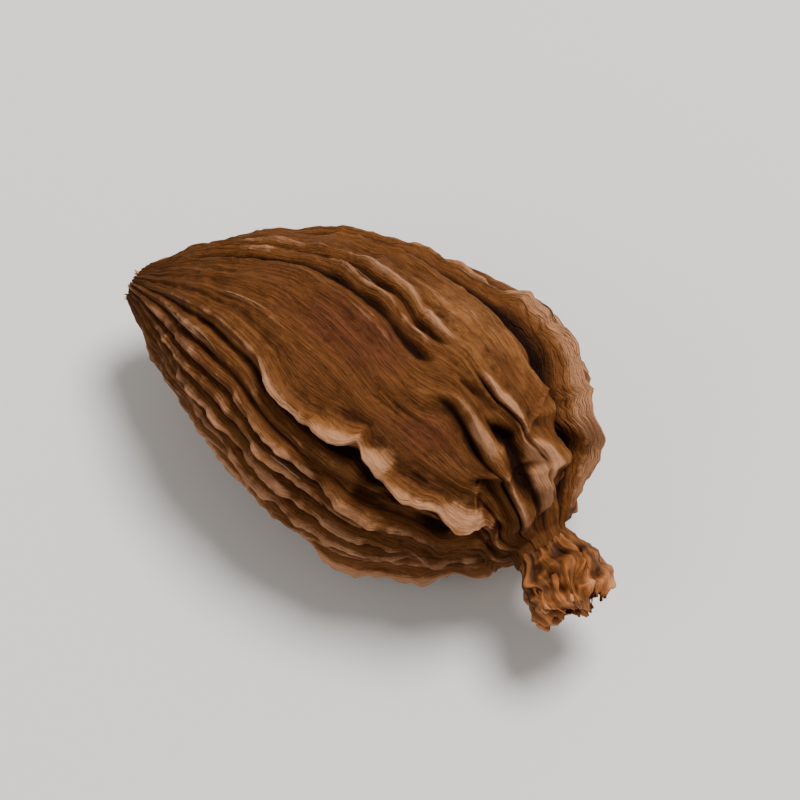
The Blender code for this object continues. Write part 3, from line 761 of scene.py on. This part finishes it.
class Wire:
    # a socket of a material's node tree that can be reckoned with
    def __init__(self, tree, socket=None):
        self.tree, self.socket = tree, socket

    def node(self, kind, settings=None, inputs=None, output=0):
        made = self.tree.nodes.new(kind)
        for name, value in (settings or {}).items():
            setattr(made, name, value)
        for name, value in (inputs or {}).items():
            if isinstance(value, Wire):
                self.tree.links.new(value.socket, made.inputs[name])
            else:
                made.inputs[name].default_value = value
        return Wire(self.tree, made.outputs[output])

    def reckon(self, operation, *values):
        return self.node("ShaderNodeMath", {"operation": operation}, dict(enumerate(values)))

    def __add__(self, other):
        return self.reckon("ADD", self, other)

    def __radd__(self, other):
        return self.reckon("ADD", other, self)

    def __sub__(self, other):
        return self.reckon("SUBTRACT", self, other)

    def __rsub__(self, other):
        return self.reckon("SUBTRACT", other, self)

    def __mul__(self, other):
        return self.reckon("MULTIPLY", self, other)

    def __rmul__(self, other):
        return self.reckon("MULTIPLY", other, self)

    def swing(self, amount):
        # a noise about a half becomes one about nothing
        return (self - 0.5) * amount

    def line(self, width):
        # 1 where this wire is a half, 0 from width away: thin lines from a noise
        apart = self.reckon("ABSOLUTE", self - 0.5)
        return apart.ramp(0.0, width, 1.0, 0.0)

    def ramp(self, low, high, start=0.0, end=1.0):
        # start at low, end at high, and an even S between them
        return self.node(
            "ShaderNodeMapRange",
            {"interpolation_type": "SMOOTHSTEP"},
            {0: self, 1: low, 2: high, 3: start, 4: end},
        )

    def stretched(self, scale):
        return self.node("ShaderNodeVectorMath", {"operation": "MULTIPLY"}, {0: self, 1: scale})

    def noise(self, scale, detail=3.0, roughness=0.55, distortion=0.0):
        return self.node(
            "ShaderNodeTexNoise",
            {"noise_dimensions": "3D"},
            {"Vector": self, "Scale": scale, "Detail": detail, "Roughness": roughness,
             "Distortion": distortion},
        )

    def mixed(self, first, second, blend="MIX"):
        # this wire is the share of the second colour
        return self.node(
            "ShaderNodeMix",
            {"data_type": "RGBA", "blend_type": blend},
            {0: self, 6: first, 7: second},
            output=2,
        )


def newMaterial(name):
    made = bpy.data.materials.new(name)
    made.use_nodes = True
    tree = made.node_tree
    return made, Wire(tree), tree.nodes["Principled BSDF"]


def attribute(start, name, output=2):
    # output 2 is its number and output 1 its vector
    settings = {"attribute_type": "GEOMETRY", "attribute_name": name}
    return start.node("ShaderNodeAttribute", settings, output=output)


def objectPlace(start):
    # Object coordinates in millimetres
    return start.node("ShaderNodeTexCoord", output=3).stretched((1000, 1000, 1000))


def bumped(start, height, depth, strength):
    inputs = {"Strength": strength, "Distance": depth * mm, "Height": height}
    return start.node("ShaderNodeBump", None, inputs)


def connect(shader, **wires):
    for name, wire in wires.items():
        socket = shader.inputs[name.replace("_", " ")]
        if isinstance(wire, Wire):
            wire.tree.links.new(wire.socket, socket)
        else:
            socket.default_value = wire


huskLook = {
    "shadeBlack": (0.0095, 0.0022, 0.0004, 1), "dark": (0.040, 0.0115, 0.0020, 1),
    "brown": (0.130, 0.0445, 0.0105, 1), "red": (0.114, 0.0345, 0.0125, 1),
    "tan": (0.235, 0.094, 0.028, 1), "pale": (0.42, 0.200, 0.103, 1),
    "bloom": (0.150, 0.072, 0.045, 1), "scar": (0.20, 0.100, 0.040, 1),
    "hairTint": (1.45, 1.4, 1.3, 1),
    # how often a pattern changes: both ways across the grain and along it, or all ways alike
    "streaks": (1.5, 1.5, 0.14), "fibres": (4.5, 4.5, 0.35), "hairs": (13.0, 13.0, 1.0),
    "patches": 0.26, "rubs": 0.45, "specks": 2.4, "grit": 9.0,
    "seamWidth": 0.028, "fineSeamWidth": 0.035,
    "roughness": 0.67, "specular": 0.09, "bumpDepth": 0.26, "bumpStrength": 0.8,
}


def huskMaterial(look):
    made, start, shader = newMaterial("dry_husk")
    grain = attribute(start, "grain", output=1)
    crest, grooveShade, cavity, hollow, pale, red, scar = (
        attribute(start, name) for name in ("crest", "grooveShade", "cavity", "hollow", "pale", "red", "scar")
    )
    place = objectPlace(start)
    streaks = grain.stretched(look["streaks"]).noise(1.0, 4.0, 0.6)
    fibres = grain.stretched(look["fibres"]).noise(1.0, 3.0, 0.6, 0.3)
    hairs = grain.stretched(look["hairs"]).noise(1.0, 2.0, 0.6, 0.2)
    patches = place.noise(look["patches"], 3.0, 0.55)
    rubs = place.noise(look["rubs"], 2.0, 0.5)
    specks = place.noise(look["specks"], 4.0, 0.65)
    grit = place.noise(look["grit"], 3.0, 0.6)

    # brown and red, darker with painted shade where the skin lies low, and tan where it stands out,
    # partly painted light
    warm = (red * 0.9 + patches.swing(2.0)).ramp(0.1, 0.9).mixed(look["brown"], look["red"])
    tone = 0.48 + hollow * 0.35 + cavity * 1.1 + streaks.swing(0.5) + specks.swing(0.75)
    tone = tone + patches.swing(0.3)
    base = tone.ramp(0.06, 0.48).mixed(look["dark"], warm)
    tanAndLit = tone + pale * 0.3 - red * 0.12
    base = (tanAndLit.ramp(0.5, 1.1) * 0.85).mixed(base, look["tan"])
    bloomed = (patches.swing(-1.8) + specks.swing(0.9) + red * 0.22).ramp(0.18, 0.62)
    base = (bloomed * 0.16).mixed(base, look["bloom"])
    # thin dark lines between the fibres
    seams = streaks.line(look["seamWidth"]) * specks.ramp(0.3, 0.6)
    seams = seams + fibres.line(look["fineSeamWidth"]) * 0.55
    base = (seams * 0.38).mixed(base, look["dark"])
    # crests are worn pale, with painted highlights at the bright places and on what stands out; grooves
    # and low places get painted shade, near black at the deepest
    paintedHighlight = (pale - 0.7).ramp(0.0, 0.9)
    wearAndHighlight = crest * (rubs * 2.0 + pale * 0.3 - 0.4) + paintedHighlight * 0.72 + cavity * 1.9
    wearAndHighlight = wearAndHighlight + specks.swing(0.9) + fibres.swing(0.5)
    base = (wearAndHighlight.ramp(0.34, 1.05) * 0.85).mixed(base, look["pale"])
    # painted shade: the grooves, hollows and low places darkened, near black where deepest
    deepShade = grooveShade * 0.75 - hollow * 0.8 - cavity * 1.3 + specks.swing(0.6) - crest
    base = (deepShade.ramp(0.18, 0.80) * 0.72).mixed(base, look["dark"])
    base = (deepShade.ramp(0.68, 1.25) * 0.92).mixed(base, look["shadeBlack"])
    base = (scar * specks.ramp(0.35, 0.6)).mixed(base, look["scar"])
    base = (hairs.ramp(0.3, 0.72) * 0.5).mixed(base, look["hairTint"], "MULTIPLY")
    roughness = look["roughness"] + specks.swing(0.3) + grooveShade * 0.15
    relief = fibres * 0.5 + hairs * 0.2 + specks * 0.55 + grit * 0.13 - seams * 0.3
    normal = bumped(start, relief, look["bumpDepth"], look["bumpStrength"])
    connect(shader, Base_Color=base, Roughness=roughness, Normal=normal)
    shader.inputs["Specular IOR Level"].default_value = look["specular"]
    return made


fibreLook = {
    "dark": (0.085, 0.035, 0.014, 1), "pale": (0.40, 0.235, 0.12, 1), "specks": 2.2, "roughness": 0.6,
}


def fibreMaterial(look):
    made, start, shader = newMaterial("dry_fibre")
    shade = attribute(start, "shade")
    specks = objectPlace(start).noise(look["specks"], 3.0, 0.6)
    base = (shade * 0.8 + (specks - 0.5)).ramp(0.0, 0.9).mixed(look["dark"], look["pale"])
    connect(shader, Base_Color=base, Roughness=look["roughness"])
    return made


calyxLook = {
    "shadeBlack": (0.012, 0.0030, 0.0006, 1), "dark": (0.052, 0.0140, 0.0024, 1),
    "brown": (0.165, 0.053, 0.0100, 1), "orange": (0.37, 0.124, 0.034, 1),
    "pale": (0.56, 0.255, 0.110, 1),
    "veins": (5.5, 5.5, 0.6), "patches": 0.8, "specks": 4.5,
    "roughness": 0.6, "specular": 0.16, "bumpDepth": 0.2, "bumpStrength": 0.8,
}


def calyxMaterial(look):
    made, start, shader = newMaterial("dry_calyx")
    grain = attribute(start, "grain", output=1)
    tone, depth = attribute(start, "tone"), attribute(start, "depth")
    place = objectPlace(start)
    veins = grain.stretched(look["veins"]).noise(1.0, 3.0, 0.6, 0.4)
    patches = place.noise(look["patches"], 3.0, 0.6)
    specks = place.noise(look["specks"], 3.0, 0.6)
    # painted shade, dark in the creases and near black inside, and orange to pale where it stands out,
    # partly painted light
    shade = 0.42 + tone * 0.28 + veins.swing(1.0) + patches.swing(0.9) - depth * 0.2
    base = shade.ramp(0.02, 0.40).mixed(look["dark"], look["brown"])
    base = shade.ramp(0.32, 0.70).mixed(base, look["orange"])
    base = (shade.ramp(0.62, 1.0) * 0.8).mixed(base, look["pale"])
    insideShade = (depth - tone * 0.35).ramp(0.35, 0.95)
    base = (insideShade * 0.85).mixed(base, look["shadeBlack"])
    roughness = look["roughness"] + specks.swing(0.3)
    relief = veins * 0.7 + specks * 0.3
    normal = bumped(start, relief, look["bumpDepth"], look["bumpStrength"])
    connect(shader, Base_Color=base, Roughness=roughness, Normal=normal)
    shader.inputs["Specular IOR Level"].default_value = look["specular"]
    return made


# Stage: a plain pale floor, soft lights and the camera at the photograph's angle

stage = {
    "floorSize": 1.6, "floor": (0.80, 0.78, 0.75, 1), "floorRoughness": 0.75,
    "azimuth": 35, "elevation": 62, "lens": 180, "sensor": 36, "fill": 0.86,
    "room": (1.0, 0.98, 0.95, 1), "ambient": 0.36, "clipStart": 0.005,
    # toward the light in the picture: right, up and out of it; then distance, size and power
    "key": ((0.32, 0.72, 0.86), 0.34, 0.14, 1.56),
    "fillLight": ((-0.8, -0.15, 0.9), 0.40, 0.26, 0.30),
}


def viewAxes(azimuth, elevation):
    azimuth, elevation = math.radians(azimuth), math.radians(elevation)
    right = Vector((math.cos(azimuth), math.sin(azimuth), 0.0))
    level = Vector((math.sin(azimuth), -math.cos(azimuth), 0.0))
    out = level * math.cos(elevation) + Vector((0, 0, math.sin(elevation)))
    return right, out.cross(right), out


def facing(centre, toward, distance):
    turn = toward.to_track_quat("Z", "Y").to_matrix().to_4x4()
    return Matrix.Translation(centre + toward * distance) @ turn


def setStage(stage):
    floorMesh = bmesh.new()
    bmesh.ops.create_grid(floorMesh, x_segments=1, y_segments=1, size=stage["floorSize"] / 2)
    floor = asPiece("floor", floorMesh)
    made, _, shader = newMaterial("pale_floor")
    connect(shader, Base_Color=stage["floor"], Roughness=stage["floorRoughness"])
    floor.data.materials.append(made)

    low, high = (Vector(corner) for corner in cadBox)
    centre = (low + high) / 2
    right, up, out = viewAxes(stage["azimuth"], stage["elevation"])
    spans = [sum(abs(way[n]) * (high[n] - low[n]) for n in range(3)) for way in (right, up)]
    distance = max(spans) / stage["fill"] * stage["lens"] / stage["sensor"]
    camera = bpy.data.objects.new("camera", bpy.data.cameras.new("camera"))
    camera.data.lens, camera.data.sensor_width = stage["lens"], stage["sensor"]
    camera.data.clip_start = stage["clipStart"]
    camera.matrix_world = facing(centre, out, distance)
    bpy.context.scene.collection.objects.link(camera)
    bpy.context.scene.camera = camera

    for name in ("key", "fillLight"):
        (r, u, o), far, size, power = stage[name]
        lamp = bpy.data.objects.new(name, bpy.data.lights.new(name, "AREA"))
        lamp.data.shape, lamp.data.size, lamp.data.energy = "DISK", size, power
        lamp.matrix_world = facing(centre, (right * r + up * u + out * o).normalized(), far)
        bpy.context.scene.collection.objects.link(lamp)

    world = bpy.data.worlds.new("soft_room")
    world.use_nodes = True
    background = world.node_tree.nodes["Background"]
    background.inputs["Color"].default_value = stage["room"]
    background.inputs["Strength"].default_value = stage["ambient"]
    bpy.context.scene.world = world


setStage(stage)
print("stage set")

husk, surface, podPlace = buildHusk(huskForm, huskFine)
husk.data.materials.append(huskMaterial(huskLook))
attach(husk, "root")
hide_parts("husk")
print("husk built,", len(husk.data.polygons), "faces, at", podPlace.round(3).tolist())

fibres = buildFibres(fibreForm, surface)
fibres.data.materials.append(fibreMaterial(fibreLook))
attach(fibres, "root")
print("fibres built,", len(fibres.data.polygons), "faces")

calyx = buildCalyx(calyxForm, huskForm, podPlace)
calyx.data.materials.append(calyxMaterial(calyxLook))
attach(calyx, "root")
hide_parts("calyx")
print("calyx built,", len(calyx.data.polygons), "faces")
